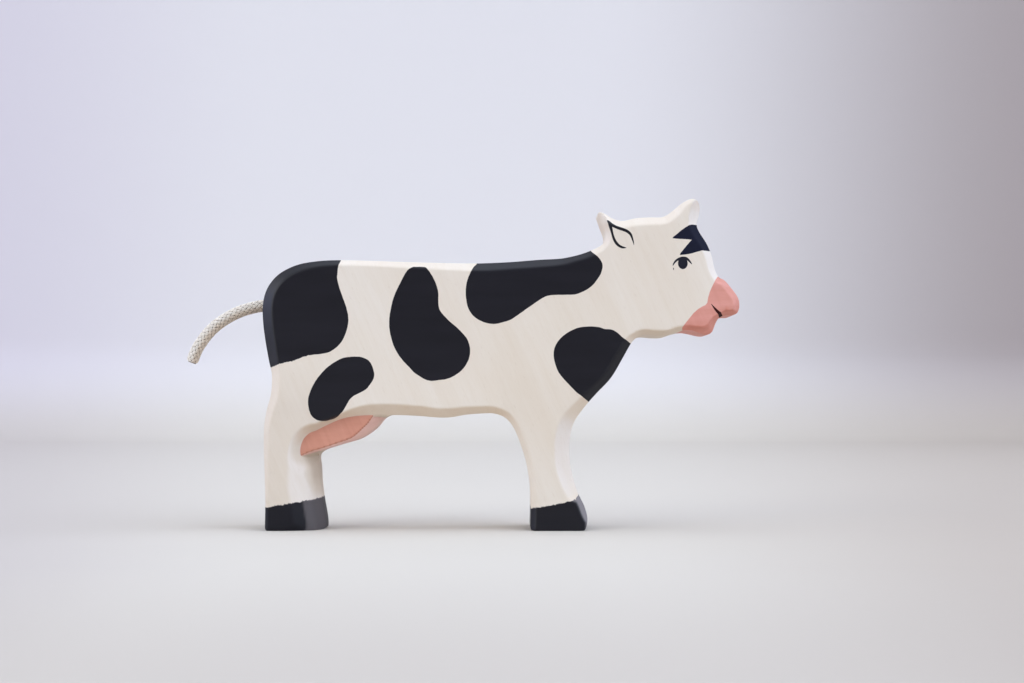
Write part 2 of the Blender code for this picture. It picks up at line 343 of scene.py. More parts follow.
# Off-white cotton: each yarn is twisted, and painted shade makes it browner where it dives under and
# darker on the cord's lower side
twists_along = 640.0
twists_across = 2.6
cotton, shader, where = new_material("braided_cotton")
twist = calc("SINE", calc(
    "MULTIPLY_ADD", read("cord_along"), twists_along,
    calc("MULTIPLY", read("yarn_across"), twists_across)))
lint = speckle(where, 2600, detail=3)
# Painted shade: how far a yarn dives under its neighbours, which browns it
sunken_shade = spread(
    calc("MULTIPLY_ADD", read("over_under"), 0.5, read("yarn_up")),
    -0.3, 1.1, 1.0, 0.0, smooth=True)
flecks = spread(speckle(where, 900, detail=1), 0.62, 0.72)
# Painted shade: the cord's lower side, turned away from the light, is darkened
cord_lower_shade = spread(read("upper_side"), 0.3, -0.7, smooth=True)
colour = blend_of(spread(lint, 0.35, 0.65), srgb(250, 246, 238), srgb(240, 231, 217))
colour = blend_of(sunken_shade, colour, srgb(132, 108, 82))
colour = stained(colour, flecks, 0.30, srgb(168, 146, 120))
# Painted shade: the core under the braid is coloured dark brown, so the gaps between the yarns show dark
colour = blend_of(read("in_a_yarn"), srgb(96, 78, 58), colour)
# Painted shade on the cord's lower side
colour = tinted(colour, cord_lower_shade, 0.86, 0.77, 0.68)
feed(shader, {
    "Base Color": colour, "Roughness": 0.9, "Specular IOR Level": 0.2, "Sheen Weight": 0.25,
    "Sheen Roughness": 0.6,
    "Normal": bump_of(calc("MULTIPLY_ADD", twist, 0.6, lint), 0.5, 0.00008)})

# The route: straight through the hole, then along the tail's own curve
root_low, root_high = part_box("tail_root")
mouth = Vector((root_low[0], 0, (root_low[2] + root_high[2]) / 2))
free_route = evenly(smooth_curve(tail_route, steps=12), route_step)
route = [(mouth.x + tail_root_length - gone, 0, mouth.z)
         for gone in np.arange(0, tail_root_length - route_step / 2, route_step)]
route += [(mouth.x - back, 0, mouth.z - down) for back, down in free_route]
route_length = tail_root_length + float(
    np.linalg.norm(np.diff(free_route, axis=0), axis=1).sum())
line = mesh_of("tail_route", route, [(k, k + 1) for k in range(len(route) - 1)])
turns = route_length / tail_pitch
tail = through_tree("braided_tail", line, braided_cord_tree(), {
    "Strands Each Way": tail_strands_each_way, "Turns": turns, "Length": route_length,
    "Cord Diameter": tail_diameter, "Yarn Width": yarn_width, "Yarn Thickness": yarn_thickness,
    "Rise": yarn_rise, "Yarn Sides": yarn_sides,
    "Lengthwise Steps": round(2 * turns * tail_strands_each_way * steps_per_crossing),
    "Worn End": worn_end, "Cotton": cotton})
tail.data.shade_smooth()
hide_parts("tail_cord", "tail_root")
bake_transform(tail)

# The carved figure: one plank of pale maple, sawn to the cow's outline, its edges cut back
# by a knife and sanded soft. The udder is a thinner tongue of the same wood, and a hole is
# drilled into the rump for the tail. Patches, hooves, face and muzzle are painted by hand.
body_length = 0.150
body_height = 0.1042
plank_thickness = 0.026
udder_thickness = 0.019
edge_chamfer = 0.0033
sole_chamfer = 0.0004
arris_radius = 0.00045
ridge_softness = 0.0004
bevel_softness = 0.0028
corner_radius = 0.0022
corner_rounds = 20
corner_depth = 0.0085
past_edge_slope = 6
outline_spacing = 0.0005
hole_radius = 0.0023
hole_depth = 0.0136

# The outline, counter-clockwise seen from the cow's right side. Each row holds the place
# along the body and up it, in thousandths of its length and height, then the width of the cut
# edge in hundredths of the chamfer, and its depth where it isn't cut at 45 degrees.
fore_leg_front_shares = [
    (676, 0, 10), (680, 24, 22), (680.5, 40, 45), (678, 57, 58), (672.5, 80, 60), (664, 103, 62),
    (659, 121, 115, 80), (651, 159, 138, 105), (644, 213, 148, 120), (644, 270, 146, 120),
    (651, 321, 125, 105), (670, 364, 100, 88)]
chest_shares = [
    (698, 411, 76), (730, 460, 76), (754, 518, 76), (771, 562, 67)]
jaw_shares = [
    (781, 579, 52, 80), (798, 591, 43, 90), (824, 588, 43, 100), (848, 589, 43, 100),
    (869, 600, 38, 80), (890, 605, 38, 70)]
chin_shares = [
    (904, 602, 42, 80), (920, 595, 58, 140), (931, 591, 80, 190), (940, 594, 93, 200),
    (946, 600, 93, 200), (949, 612, 83, 190), (952, 626, 68, 180), (956, 637, 48, 180)]
nose_shares = [
    (961, 646, 36, 180), (969, 650, 38, 160), (982, 651, 42, 140), (991, 651, 52, 130),
    (997, 657, 63, 110), (999, 666, 72, 100), (1000, 680, 66, 80), (996, 703, 64), (981, 733, 64),
    (966, 757, 62)]
brow_shares = [
    (955, 763, 57), (947, 790, 67), (942, 826, 76), (931, 865, 76), (915, 901, 76)]
horn_shares = [
    (910, 925, 86, 100), (917, 955, 105, 160), (918, 979, 86, 140), (911, 995, 48, 60),
    (899, 1000, 38)]
crown_shares = [
    (880, 988, 48), (861, 966, 67), (840, 946, 71), (810, 945, 76), (781, 942, 76), (752, 933, 67),
    (730, 943, 57)]
ear_shares = [
    (721, 954, 55, 100), (713, 964, 62, 180), (706, 968, 70, 230), (703, 965, 75, 240),
    (704, 957, 75, 240), (707, 947, 62, 240), (712, 927, 45, 230), (718, 908, 38, 210),
    (721, 892, 36, 170), (719, 875, 40, 110), (707, 857, 50, 57)]
back_shares = [
    (681, 840, 57), (654, 828, 57), (623, 820, 67), (581, 817, 76), (519, 810, 76), (448, 806, 76),
    (373, 807, 67), (289, 810, 57), (227, 813, 52)]
rump_shares = [
    (164, 815, 52), (122, 813, 57), (79, 804, 71), (47, 786, 81), (25, 763, 93, 88),
    (8, 728, 100, 88), (0, 685, 100, 88), (0, 634, 100, 88), (5, 574, 100, 88), (12, 514, 95)]
hind_leg_back_shares = [
    (19, 468, 86), (17, 411, 76), (9, 366, 67), (4, 321, 57), (3, 264, 48), (5, 183, 33),
    (7, 93, 25), (6, 0, 25)]
hind_leg_front_shares = [
    (128, 0, 110, 300), (127, 33, 110, 300), (120, 92, 110, 300), (115, 147, 120, 290),
    (113, 195, 155, 285), (109.5, 231, 215, 310)]
udder_root_shares = [
    (109, 258, 186, 305), (118, 281, 125, 245), (137, 300, 102, 240), (162, 318, 96, 230),
    (189, 332, 105, 165), (218, 341, 116, 130)]
belly_shares = [
    (250, 346, 111), (285, 348, 100), (331, 345, 95), (364, 341, 86), (393, 341, 86), (425, 349, 76),
    (460, 353, 67), (485, 353, 62)]
fore_leg_back_shares = [
    (509, 340, 57), (527, 308, 52), (542, 255, 48), (554, 195, 48), (561, 129, 46), (562, 69, 46),
    (561, 0, 46)]
hind_leg_bevel_shares = [
    (128, 0, 280, 125), (127, 33, 280, 125), (120, 92, 278, 125), (115, 147, 275, 120),
    (113, 195, 260, 100), (109.5, 231, 200, 60)]
udder_edge_shares = [
    (79, 222, 15), (104, 234.5, 19), (127, 243.5, 22), (160, 258, 26), (182, 267, 32),
    (197, 274, 45), (214, 288, 64), (233.5, 309.5, 78), (245.5, 331, 86), (254.5, 342, 90),
    (267, 350, 90)]
udder_hidden_edge_shares = [
    (256, 360, 19), (210, 366, 19), (160, 353, 19), (118, 330, 19), (85, 303, 19), (64, 261, 19),
    (68, 231, 19)]


def stretch_of(*tables):
    """One smooth run of the outline: x, z, width and depth of the cut edge."""
    rows = [
        ((row[0] / 1000 - 0.5) * body_length, row[1] / 1000 * body_height,
         row[2] / 100 * edge_chamfer, row[-1] / 100 * edge_chamfer)
        for table in tables for row in table]
    return evenly(smooth_curve(rows, steps=16), outline_spacing)


def sole_between(back, front):
    """The flat underside of a hoof, with a barely broken edge."""
    ends = np.array([back[:2], front[:2]])
    return evenly(np.hstack([ends, np.full((2, 2), sole_chamfer)]), outline_spacing)


def softened(loop, times):
    """A closed line with its corners sanded round."""
    for _ in range(times):
        loop = (np.roll(loop, 1, axis=0) + 2 * loop + np.roll(loop, -1, axis=0)) / 4
    return loop


def inside(points, loop):
    """Which points lie within a closed line."""
    group_size = 400
    start = loop
    end = np.roll(loop, -1, axis=0)
    top = np.maximum(start[:, 1], end[:, 1])
    bottom = np.minimum(start[:, 1], end[:, 1])
    found = np.zeros(len(points), dtype=bool)
    for some in np.array_split(np.argsort(points[:, 1]), 1 + len(points) // group_size):
        z = points[some, 1]
        level = (top >= z.min(initial=1)) & (bottom <= z.max(initial=-1))
        a, b = start[level], end[level]
        spans = (a[:, 1] > z[:, None]) != (b[:, 1] > z[:, None])
        rise = np.where(b[:, 1] == a[:, 1], 1, b[:, 1] - a[:, 1])
        crossing = a[:, 0] + (z[:, None] - a[:, 1]) * (b[:, 0] - a[:, 0]) / rise
        found[some] = np.sum(spans & (points[some, 0][:, None] < crossing), axis=1) % 2 == 1
    return found


def against(points, start, end, measure, reach, otherwise):
    """For each point, a measure over the segments within reach, or else a set value.

    The measure is given the distances, the shares along the segments, and their ends.
    """
    tile_size = 0.006
    tiles_in_row = 4096
    results = np.full(len(points), float(otherwise))
    low = np.minimum(start, end)[:, :2] - reach
    high = np.maximum(start, end)[:, :2] + reach
    tiles = np.floor(points / tile_size).astype(int)
    _, tile = np.unique(tiles[:, 0] * tiles_in_row + tiles[:, 1], return_inverse=True)
    order = np.argsort(tile, kind="stable")
    for some in np.split(order, np.flatnonzero(np.diff(tile[order])) + 1):
        near = points[some]
        if not len(near):
            continue
        close = np.all((low < near.max(axis=0)) & (high > near.min(axis=0)), axis=1)
        if not close.any():
            continue
        a, b = start[close], end[close]
        run = b[:, :2] - a[:, :2]
        away = near[:, None, :] - a[None, :, :2]
        share = (away[:, :, 0] * run[:, 0] + away[:, :, 1] * run[:, 1]) / np.maximum(
            (run ** 2).sum(axis=1), 1e-18)
        share = np.minimum(np.maximum(share, 0), 1)
        distance = np.hypot(away[:, :, 0] - share * run[:, 0], away[:, :, 1] - share * run[:, 1])
        results[some] = measure(distance, share, a, b)
    return results


def edge_distance(points, loop, reach=0.003):
    """Distance from each point to a closed line, as far as the reach."""
    def least(distance, share, a, b):
        return np.minimum(distance.min(axis=1), reach)

    return against(points, loop, np.roll(loop, -1, axis=0), least, reach, reach)


def cut_depth(points, stretches):
    """How deep the edge cuts go at each point: above zero on a cut, below it on the face."""
    def deepest(distance, share, a, b):
        width = a[:, 2] + share * (b[:, 2] - a[:, 2])
        depth = a[:, 3] + share * (b[:, 3] - a[:, 3])
        return (depth * (1 - distance / width)).max(axis=1)

    start = np.vstack([stretch[:-1] for stretch in stretches])
    end = np.vstack([stretch[1:] for stretch in stretches])
    return against(points, start, end, deepest, 3 * edge_chamfer, -edge_chamfer)


def deeper(one, other, softness):
    """The deeper of two cuts, with the ridge between them sanded round."""
    near = np.maximum(softness - np.abs(one - other), 0)
    return np.maximum(one, other) + near ** 2 / (4 * softness)


def rounded(depth, softness):
    """A cut's depth below the face, with its inner ridge sanded soft."""
    return deeper(depth, np.zeros_like(depth), softness)


upper = stretch_of(
    fore_leg_front_shares, chest_shares, jaw_shares, chin_shares, nose_shares, brow_shares,
    horn_shares, crown_shares, ear_shares, back_shares, rump_shares, hind_leg_back_shares)
lower = stretch_of(hind_leg_front_shares, udder_root_shares, belly_shares, fore_leg_back_shares)
body_stretches = [upper, sole_between(upper[-1], lower[0]), lower, sole_between(lower[-1], upper[0])]
body_loop = softened(np.vstack([stretch[:-1, :2] for stretch in body_stretches]), times=2)
bevel_stretches = [stretch_of(hind_leg_bevel_shares)]
udder_stretches = [stretch_of(udder_edge_shares), stretch_of(udder_hidden_edge_shares)]
udder_loop = np.vstack([stretch[:, :2] for stretch in udder_stretches])

# The udder's edge takes the place of the belly's where it stands out below it
udder_edge = udder_stretches[0][:, :2]
proud = np.flatnonzero(~inside(udder_edge, body_loop))
hidden = np.flatnonzero(inside(body_loop, udder_loop))
outline = softened(np.vstack([
    body_loop[:hidden[0]], udder_edge[proud[0]:proud[-1] + 1], body_loop[hidden[-1] + 1:]]), times=2)

# The saw couldn't turn sharply where the udder meets the leg: that corner is filled out
corner = udder_edge[proud[0]]
filled = np.clip(2 - np.linalg.norm(outline - corner, axis=1) / corner_radius, 0, 1)[:, None]
outline = outline + filled * (softened(outline, corner_rounds) - outline)
exact_plan = (body_stretches, bevel_stretches, body_loop, udder_stretches, udder_loop)

# With fewer points the plan is still good enough to choose the mesh's cells by
rough_plan = ([stretch[::4] for stretch in body_stretches], [bevel_stretches[0][::4]],
              body_loop[::4], [stretch[::3] for stretch in udder_stretches], udder_loop[::3])


def shape_at(points, plan):
    """Depth below the plank's face of the body, and of the udder, at each point."""
    body_runs, bevel_runs, body_line, udder_runs, udder_line = plan
    body = deeper(cut_depth(points, body_runs), cut_depth(points, bevel_runs), bevel_softness)
    beyond = np.where(inside(points, body_line), 0, edge_distance(points, body_line))
    body = np.where(beyond > 0, np.minimum(
        body + past_edge_slope * beyond, np.maximum(body, corner_depth)), body)
    udder = (plank_thickness - udder_thickness) / 2 + rounded(
        cut_depth(points, udder_runs), ridge_softness / 2)
    beyond = np.where(inside(points, udder_line), 0, edge_distance(points, udder_line))
    return body, udder + past_edge_slope * beyond


# Hand-painted shapes, drawn on the picture's pixels: the near face lies at 3.197 pixels to
# the millimetre, with the rump at 261.3 and the floor at 531. Shapes that go over an edge
# are closed outside the outline, and paint the wall there too.
pixels_per_metre = 3197
rump_pixel = 261.3
floor_pixel = 531.0
around_rump = [(255, 371), (248, 300), (256, 240), (341.5, 246)]
rump_patch = [
    (340.6, 254), (339.9, 260), (338, 265.3), (337.2, 271.4), (336.9, 279), (339.2, 288.3), (343, 299),
    (346.4, 308.9), (348, 318.9), (347.2, 326.5), (344.9, 334.2), (341.5, 341), (336, 347.2),
    (328.5, 351.8), (320, 353.7), (312.4, 354.4), (304.7, 356), (297.8, 358.6), (291.7, 360.9),
    (285.6, 362), (278, 364), (270.7, 366.5), (262, 369)]
flank_patch = [
    (354.2, 356.7), (360.6, 357.2), (367.6, 360), (371.4, 364.9), (373.3, 370.6), (373.9, 375),
    (372.7, 379.5), (368.9, 385.3), (365.7, 389), (358.7, 392.9), (352.9, 396), (349, 399.9),
    (345.3, 406.3), (341.5, 412), (335.7, 417.2), (330, 419.4), (324.2, 420.7), (317.2, 419.7),
    (312, 415.9), (309.6, 410.8), (308.3, 403.8), (308.6, 397.4), (311.5, 389), (315.9, 380.8),
    (321.7, 373.2), (328, 367), (335.7, 361.7), (344, 357.9)]
side_patch = [
    (413, 266.9), (408, 270), (404, 276), (400, 284), (396, 292), (393, 300), (390.8, 310),
    (389.5, 320), (389.8, 329), (391.5, 338), (394.5, 347), (399, 355), (404, 361.5), (409.5, 367),
    (414, 372), (420, 376), (425, 379), (431, 380.5), (438, 379.8), (445, 379), (452, 376.5),
    (459, 372), (464, 367), (468, 360), (469.8, 352), (469, 345), (466.5, 338.5), (462, 333),
    (456, 327), (450, 322), (444, 316), (440, 311), (438.3, 306), (438, 300), (437.8, 292),
    (436, 285), (433, 278), (430, 273), (427, 269), (424, 267)]
around_shoulder = [(586, 240), (480, 250)]
shoulder_patch = [
    (478.5, 258), (476.7, 263.4), (474.3, 266), (470.5, 272.7), (467.2, 281.4), (465.9, 290.9),
    (466.7, 300.5), (469, 309), (474.3, 316.3), (483, 321.5), (493.5, 323.6), (501, 322.3),
    (509.7, 319.6), (517.4, 314.8), (527, 308), (536.5, 301.4), (544.2, 296.7), (551.8, 294.7),
    (570, 294.3), (576.7, 293.6), (584.4, 290.4), (592, 285.2), (598.7, 276.6), (601.4, 270.8),
    (602.3, 266), (601, 261.3), (597.8, 257), (591.5, 251.2), (589, 246)]
around_chest = [(602, 412), (650, 372), (640, 350)]
chest_patch = [
    (635, 346.5), (631.4, 343.7), (622.9, 337.9), (617.2, 332.8), (612, 329.9), (605, 329.2),
    (597.4, 327), (588.5, 326.7), (579.5, 327.7), (571.9, 330.5), (564.2, 335.3), (558.5, 341),
    (555, 347.4), (553.9, 353.8), (554.7, 360.8), (557.9, 370.4), (562.3, 376.8), (568.7, 383.8),
    (576.4, 391.7), (582, 395.9), (588.8, 401.3), (594, 405.5)]
forelock = [
    (672.3, 237.9), (676.6, 234.5), (681.1, 230.7), (685.5, 227.6), (689.4, 225.2), (692.0, 224.3),
    (697, 224.0), (720, 221), (726, 250), (709.8, 250.2), (702.3, 250), (697.2, 251.3),
    (691.8, 252.9), (686.4, 254), (679.7, 254.7), (683.2, 250.2), (686.4, 246.1), (690, 242),
    (693, 239.5), (685.5, 238.7), (678, 238.4)]
hind_hoof = [
    (258, 508.6), (266.2, 507.8), (270.5, 507.3), (278, 505.3), (284.9, 504.7), (289.4, 503.2),
    (297.5, 503), (302.6, 501.5), (306.7, 501.2), (314.7, 499.8), (325, 497.2), (332, 496.4),
    (332, 540), (258, 540)]
fore_hoof = [
    (524, 510.4), (531.8, 508.9), (551.7, 505.7), (567.7, 502.2), (575.7, 499.6), (579.2, 494.5),
    (592, 492), (596, 540), (524, 540)]
muzzle = [
    (717.8, 276.6), (715, 280.6), (712, 286.5), (709.5, 292.5), (708, 298), (707.2, 302.6),
    (705.4, 305), (702, 306.5), (698, 309), (694, 312.5), (690.5, 316.8), (687, 321), (684, 325),
    (682.4, 327.4), (683.5, 331), (684.5, 342), (745, 345), (760, 300), (735, 264)]

# Brush lines: each row is a place and half the line's width there, in pixels
upper_ear_line = [
    (607.7, 220.5, 0.8), (609.2, 222.3, 1.5), (611.8, 224.6, 1.6), (615.6, 226.7, 1.5),
    (619.5, 228.2, 1.55), (623.4, 229.5, 1.5), (627, 231.1, 1.45), (629.9, 233.4, 1.35),
    (631.5, 236.2, 1.1), (632.6, 239.5, 0.8), (633.5, 242.6, 0.5), (633.8, 244.9, 0.15)]
lower_ear_line = [
    (608.6, 222.0, 1.0), (610.3, 226, 1.5), (611.3, 229.4, 1.35), (612.1, 232.8, 1.15),
    (613, 236.2, 1.15), (614.5, 240, 1.3), (616.7, 243.4, 1.4), (619.4, 245.9, 1.25),
    (622.8, 247.3, 1.05), (626, 247.6, 0.4)]
eyelid_line = [
    (672.8, 265.6, 0.25), (673.8, 263.4, 0.75), (676.4, 260.3, 1.05), (681.2, 257.9, 1.2),
    (686, 258.1, 1.2), (689.2, 260.8, 1.0), (691.8, 264.0, 0.3)]
stray_dot = [(673.3, 267.6, 0.2), (673.5, 268.8, 0.45), (673.5, 269.9, 0.15)]
mouth_line = [
    (711.1, 303.8, 0.2), (714.2, 307.7, 0.9), (717.4, 311.3, 1.4), (720.3, 313.6, 1.6),
    (723.0, 315.3, 1.7)]
eye_middle = (682.8, 263.2)
eye_half_width = 4.85
eye_half_height = 5.9
other_side_shift = {"flank": (0.0031, -0.0012), "side": (-0.0042, -0.0016)}
wander = 0.0012
wander_waves = 45
wander_seeds = (3.1, 8.7)
paint_reach = 0.003
paint_spread = 0.0001


def on_side(pixels):
    """Places on the cow's side, from pixels of the picture."""
    pixels = np.array(pixels, dtype=float)
    return np.stack([
        (pixels[:, 0] - rump_pixel) / pixels_per_metre - body_length / 2,
        (floor_pixel - pixels[:, 1]) / pixels_per_metre], axis=1)


def brushed(edge, closing=()):
    """A painted shape's loop: its own edge drawn smoothly, then any way round outside."""
    drawn = smooth_curve(on_side(edge), steps=6)
    return np.vstack([drawn, on_side(closing)]) if closing else drawn


def free_shape(edge):
    """A painted shape that lies wholly on the side."""
    return smooth_curve(on_side([*edge, edge[0]]), steps=6)[:-1]


def sway_at(points, waves, seed):
    """Slow, uneven changes that a hand leaves, between about -1 and 1."""
    return np.array([noise.noise(Vector((x * waves, z * waves, seed))) for x, z in points])


def on_other_side(loop, shift=(0, 0)):
    """The same shape as the painter's hand made it on the left side: never quite the same."""
    sway = np.stack([sway_at(loop, wander_waves, seed) for seed in wander_seeds], axis=1)
    return loop + shift + wander * sway


def close_to(points, line):
    """Which points lie within reach of the box round a line."""
    low = line.min(axis=0) - paint_reach
    high = line.max(axis=0) + paint_reach
    return np.flatnonzero(np.all((points > low) & (points < high), axis=1))


def from_edge(points, loop):
    """Distance from a shape's edge, below zero inside it."""
    result = np.full(len(points), paint_reach)
    close = close_to(points, loop)
    apart = edge_distance(points[close], loop)
    apart[inside(points[close], loop)] *= -1
    result[close] = np.clip(apart, -paint_reach, paint_reach)
    return result


def from_lines(points, lines):
    """Distance from the edges of brush lines, below zero within them."""
    def outside(distance, share, a, b):
        return (distance - a[:, 2] - share * (b[:, 2] - a[:, 2])).min(axis=1)

    result = np.full(len(points), paint_reach)
    for line in lines:
        half_widths = np.array(line)[:, 2:] / pixels_per_metre
        row = smooth_curve(np.hstack([on_side(line), half_widths]), steps=5)
        close = close_to(points, row[:, :2])
        result[close] = np.minimum(result[close], against(
            points[close], row[:-1], row[1:], outside, paint_reach, paint_reach))
    middle = on_side([eye_middle])[0]
    reach = np.array([eye_half_width, eye_half_height]) / pixels_per_metre
    eye = (np.linalg.norm((points - middle) / reach, axis=1) - 1) * reach[0]
    return np.minimum(result, eye)


over_edge = [
    brushed(rump_patch, around_rump), brushed(shoulder_patch, around_shoulder),
    brushed(chest_patch, around_chest), on_side(forelock)]
hooves = [on_side(hind_hoof), on_side(fore_hoof)]
black_near = over_edge + hooves + [free_shape(flank_patch), free_shape(side_patch)]
black_far = [on_other_side(loop) for loop in over_edge] + hooves + [
    on_other_side(free_shape(flank_patch), other_side_shift["flank"]),
    on_other_side(free_shape(side_patch), other_side_shift["side"])]
muzzle_loop = on_side(muzzle)
face_lines = [upper_ear_line, lower_ear_line, eyelid_line, stray_dot, mouth_line]


def black_at(points, loops):
    """Distance from the edge of the nearest black shape, the paint's spread included."""
    return np.min([from_edge(points, loop) for loop in loops], axis=0) - paint_spread


# The mesh is fine where something happens: at the edges, the paint and the face. A cell's
# corners lie within corner_reach times its size from its middle.
finest_cell = 0.00015
fine_cell = 0.0003
cut_cell = 0.0006
coarsest_cell = 0.0024
corner_reach = 0.75
rounding = 1.01
ridge_band = 0.0004
paint_band = 0.0003
ring_offsets = (0.00004, 0.0001, 0.0002, 0.0004)
ring_clearance = 0.93
rim_clearance = 0.00012


def wanted_cell(points, size):
    """How small the mesh's triangles should be, somewhere within a cell at each point."""
    reach = corner_reach * size

    def near(distance, band, cell):
        return np.where(np.abs(distance) < band + reach, cell, coarsest_cell)

    body, udder = shape_at(points, rough_plan)
    return np.min([
        np.where(body + reach > 0, cut_cell, coarsest_cell),
        near(body, ridge_band, fine_cell),
        near(rounded(body, ridge_softness) - udder, ridge_band, fine_cell),
        near(black_at(points, black_near), paint_band, fine_cell),
        near(black_at(points, black_far), paint_band, fine_cell),
        near(from_edge(points, muzzle_loop), paint_band, fine_cell),
        near(from_lines(points, face_lines), paint_band, finest_cell)], axis=0)


def graded_points():
    """Places within the outline, closer together where the mesh has to be fine."""
    low = outline.min(axis=0)
    high = outline.max(axis=0)
    columns = np.arange(low[0], high[0], coarsest_cell) + coarsest_cell / 2
    rows = np.arange(low[1], high[1], coarsest_cell) + coarsest_cell / 2
    cells = np.array([(x, z) for x in columns for z in rows])
    size = coarsest_cell
    kept = []
    while len(cells):
        reach = corner_reach * size
        cells = cells[inside(cells, outline) | (edge_distance(cells, outline[::3]) < reach)]
        split = wanted_cell(cells, size) * rounding < size
        if size < finest_cell * rounding:
            split[:] = False
        kept.append(cells[~split])
        cells = np.vstack([
            cells[split] + (a * size / 4, b * size / 4) for a in (-1, 1) for b in (-1, 1)])
        size /= 2
    points = np.vstack(kept)
    points = points[inside(points, outline)]
    return points[edge_distance(points, outline) > ring_offsets[-1] + rim_clearance]


def rim_rings():
    """Rows of places just inside the outline, where its sharp edge is sanded round."""
    along = np.roll(outline, -1, axis=0) - np.roll(outline, 1, axis=0)
    inward = np.stack([-along[:, 1], along[:, 0]], axis=1) / np.linalg.norm(along, axis=1)[:, None]
    rings = []
    for offset in ring_offsets:
        moved = outline + inward * offset
        clear = inside(moved, outline) & (edge_distance(moved, outline) > ring_clearance * offset)
        rings.append(moved[clear])
    return np.vstack(rings)


# What the knife and the sanding left: slow waves along the cuts and over the faces
knife_sway = 0.00011
knife_waves = 110
face_sway = 0.00006
face_waves = 32
root_softness = 0.00025
wall_strips = 12
weld_distance = 1e-7
inside_only = 1


def side_depth(points, seed):
    """Depth below the plank's face on one side, with all its cuts and soft edges."""
    body, udder = shape_at(points, exact_plan)
    body = rounded(body + knife_sway * sway_at(points, knife_waves, seed), ridge_softness)
    lower_by = np.minimum(body, udder)
    gap = np.abs(body - udder)
    lower_by = lower_by - np.maximum(root_softness - gap, 0) ** 2 / (4 * root_softness)
    apart = edge_distance(points, outline)
    sanded = np.minimum(apart, arris_radius * (1 - math.cos(math.pi / 4)))
    arris = arris_radius * math.tan(math.pi / 8) + sanded - np.sqrt(
        np.maximum(2 * arris_radius * sanded - sanded ** 2, 0))
    worn_off = face_sway * (1 + sway_at(points, face_waves, seed + 5)) / 2
    return lower_by + np.maximum(arris, 0) + worn_off


rim_count = len(outline)
flat, _, triangles, sources, _, _ = delaunay_2d_cdt(
    [Vector(p) for p in np.vstack([outline, rim_rings(), graded_points()]).tolist()],
    [], [list(range(rim_count))], inside_only, weld_distance)
flat = np.array([tuple(p) for p in flat])
place_of = {source: k for k, given in enumerate(sources) for source in given}
rim = [place_of[k] for k in range(rim_count)]
half = plank_thickness / 2
near_side = np.stack([flat[:, 0], side_depth(flat, seed=1.7) - half, flat[:, 1]], axis=1)
far_side = np.stack([flat[:, 0], half - side_depth(flat, seed=6.3), flat[:, 1]], axis=1)
count = len(flat)
walls = [near_side[rim] + (far_side[rim] - near_side[rim]) * (strip / wall_strips)
         for strip in range(1, wall_strips)]
faces = [tuple(t) for t in triangles] + [tuple(count + k for k in reversed(t)) for t in triangles]
rows = [rim] + [[2 * count + strip * rim_count + k for k in range(rim_count)]
                for strip in range(wall_strips - 1)] + [[count + k for k in rim]]
for this, other in zip(rows, rows[1:]):
    faces += [(this[(k + 1) % rim_count], this[k], other[k], other[(k + 1) % rim_count])
              for k in range(rim_count)]
cow = placed("maple_cow", mesh_of(
    "maple_cow", np.vstack([near_side, far_side, *walls]).tolist(), [], faces))


def drill_mesh(start, length, radius, sides):
    """A round cutter that runs along +X."""
    ring = [(radius * math.cos(2 * math.pi * k / sides), radius * math.sin(2 * math.pi * k / sides))
            for k in range(sides)]
    points = [(start.x + step, start.y + y, start.z + z) for step in (0, length) for y, z in ring]
    return mesh_of("drill", points, [], [
        *[(k, (k + 1) % sides, sides + (k + 1) % sides, sides + k) for k in range(sides)],
        tuple(reversed(range(sides))), tuple(range(sides, 2 * sides))])


overrun = 0.003
drill = placed("drill", drill_mesh(
    mouth - Vector((overrun, 0, 0)), overrun + hole_depth, hole_radius, sides=64))
bore = cow.modifiers.new("tail_hole", "BOOLEAN")
bore.operation = "DIFFERENCE"
bore.solver = "EXACT"
bore.object = drill
bored = settled(cow)
bpy.data.objects.remove(drill, do_unlink=True)
bored.shade_smooth()
bored.set_sharp_from_angle(angle=math.radians(50))


def rows_of(mesh, name):
    """A vector of each point of a mesh, as one row each of its x, y and z."""
    values = np.zeros(len(mesh.vertices) * 3)
    mesh.vertices.foreach_get(name, values)
    return values.reshape(-1, 3).T


def ramp(value, start, end):
    """How far a value has gone from start to end, held between 0 and 1."""
    return np.clip((value - start) / (end - start), 0, 1)


# How far each point lies from the edges of the paints. The patches of one side turn into the
# other side's between the sides, the face's lines stop there, and the hole has bare walls.
crossover = 0.009
line_fade = (0.0056, 0.0036)
udder_reach = 0.0008
hole_slack = 0.00002
hole_rim = 0.00008
hole_end = 0.001
x, y, z = rows_of(bored, "co")
to_nose, to_side, to_top = rows_of(bored, "normal")
on_plan = np.stack([x, z], axis=1)
far_share = ramp(y, -crossover, crossover)
far_share = far_share ** 2 * (3 - 2 * far_share)
black = (1 - far_share) * black_at(on_plan, black_near) + far_share * black_at(on_plan, black_far)
in_hole = (np.hypot(y, z - mouth.z) < hole_radius + hole_slack) & (
    x > mouth.x + hole_rim) & (x < mouth.x + hole_depth + hole_end)
black[in_hole] = paint_reach
lines = from_lines(on_plan, face_lines) + 0.002 * ramp(np.abs(y), *line_fade)
body, udder = shape_at(on_plan, exact_plan)
udder_face = (plank_thickness - udder_thickness) / 2
udder_paint = np.maximum(
    udder - rounded(body, ridge_softness), from_edge(on_plan, udder_loop) - paint_spread)

# Painted light: the cuts on the legs' and the nose's front are made lighter and bluer, as the light from
# the right falls on them
fore = x > 0
fore_front = ramp(to_nose, 0.35, 0.55) * ramp(np.abs(to_side), 0.25, 0.40) * ramp(to_top, -0.45, -0.30)
steepest = 0.72 + 0.40 * ramp(z, 0.0165, 0.0085)
hind_front = ramp(to_nose, 0.12, 0.40) * ramp(to_nose, steepest, steepest - 0.12) * ramp(z, 0.034, 0.024)
painted_front_light = np.where(fore, fore_front, hind_front) * np.where(z > 0.075, 0.7, 0.85)
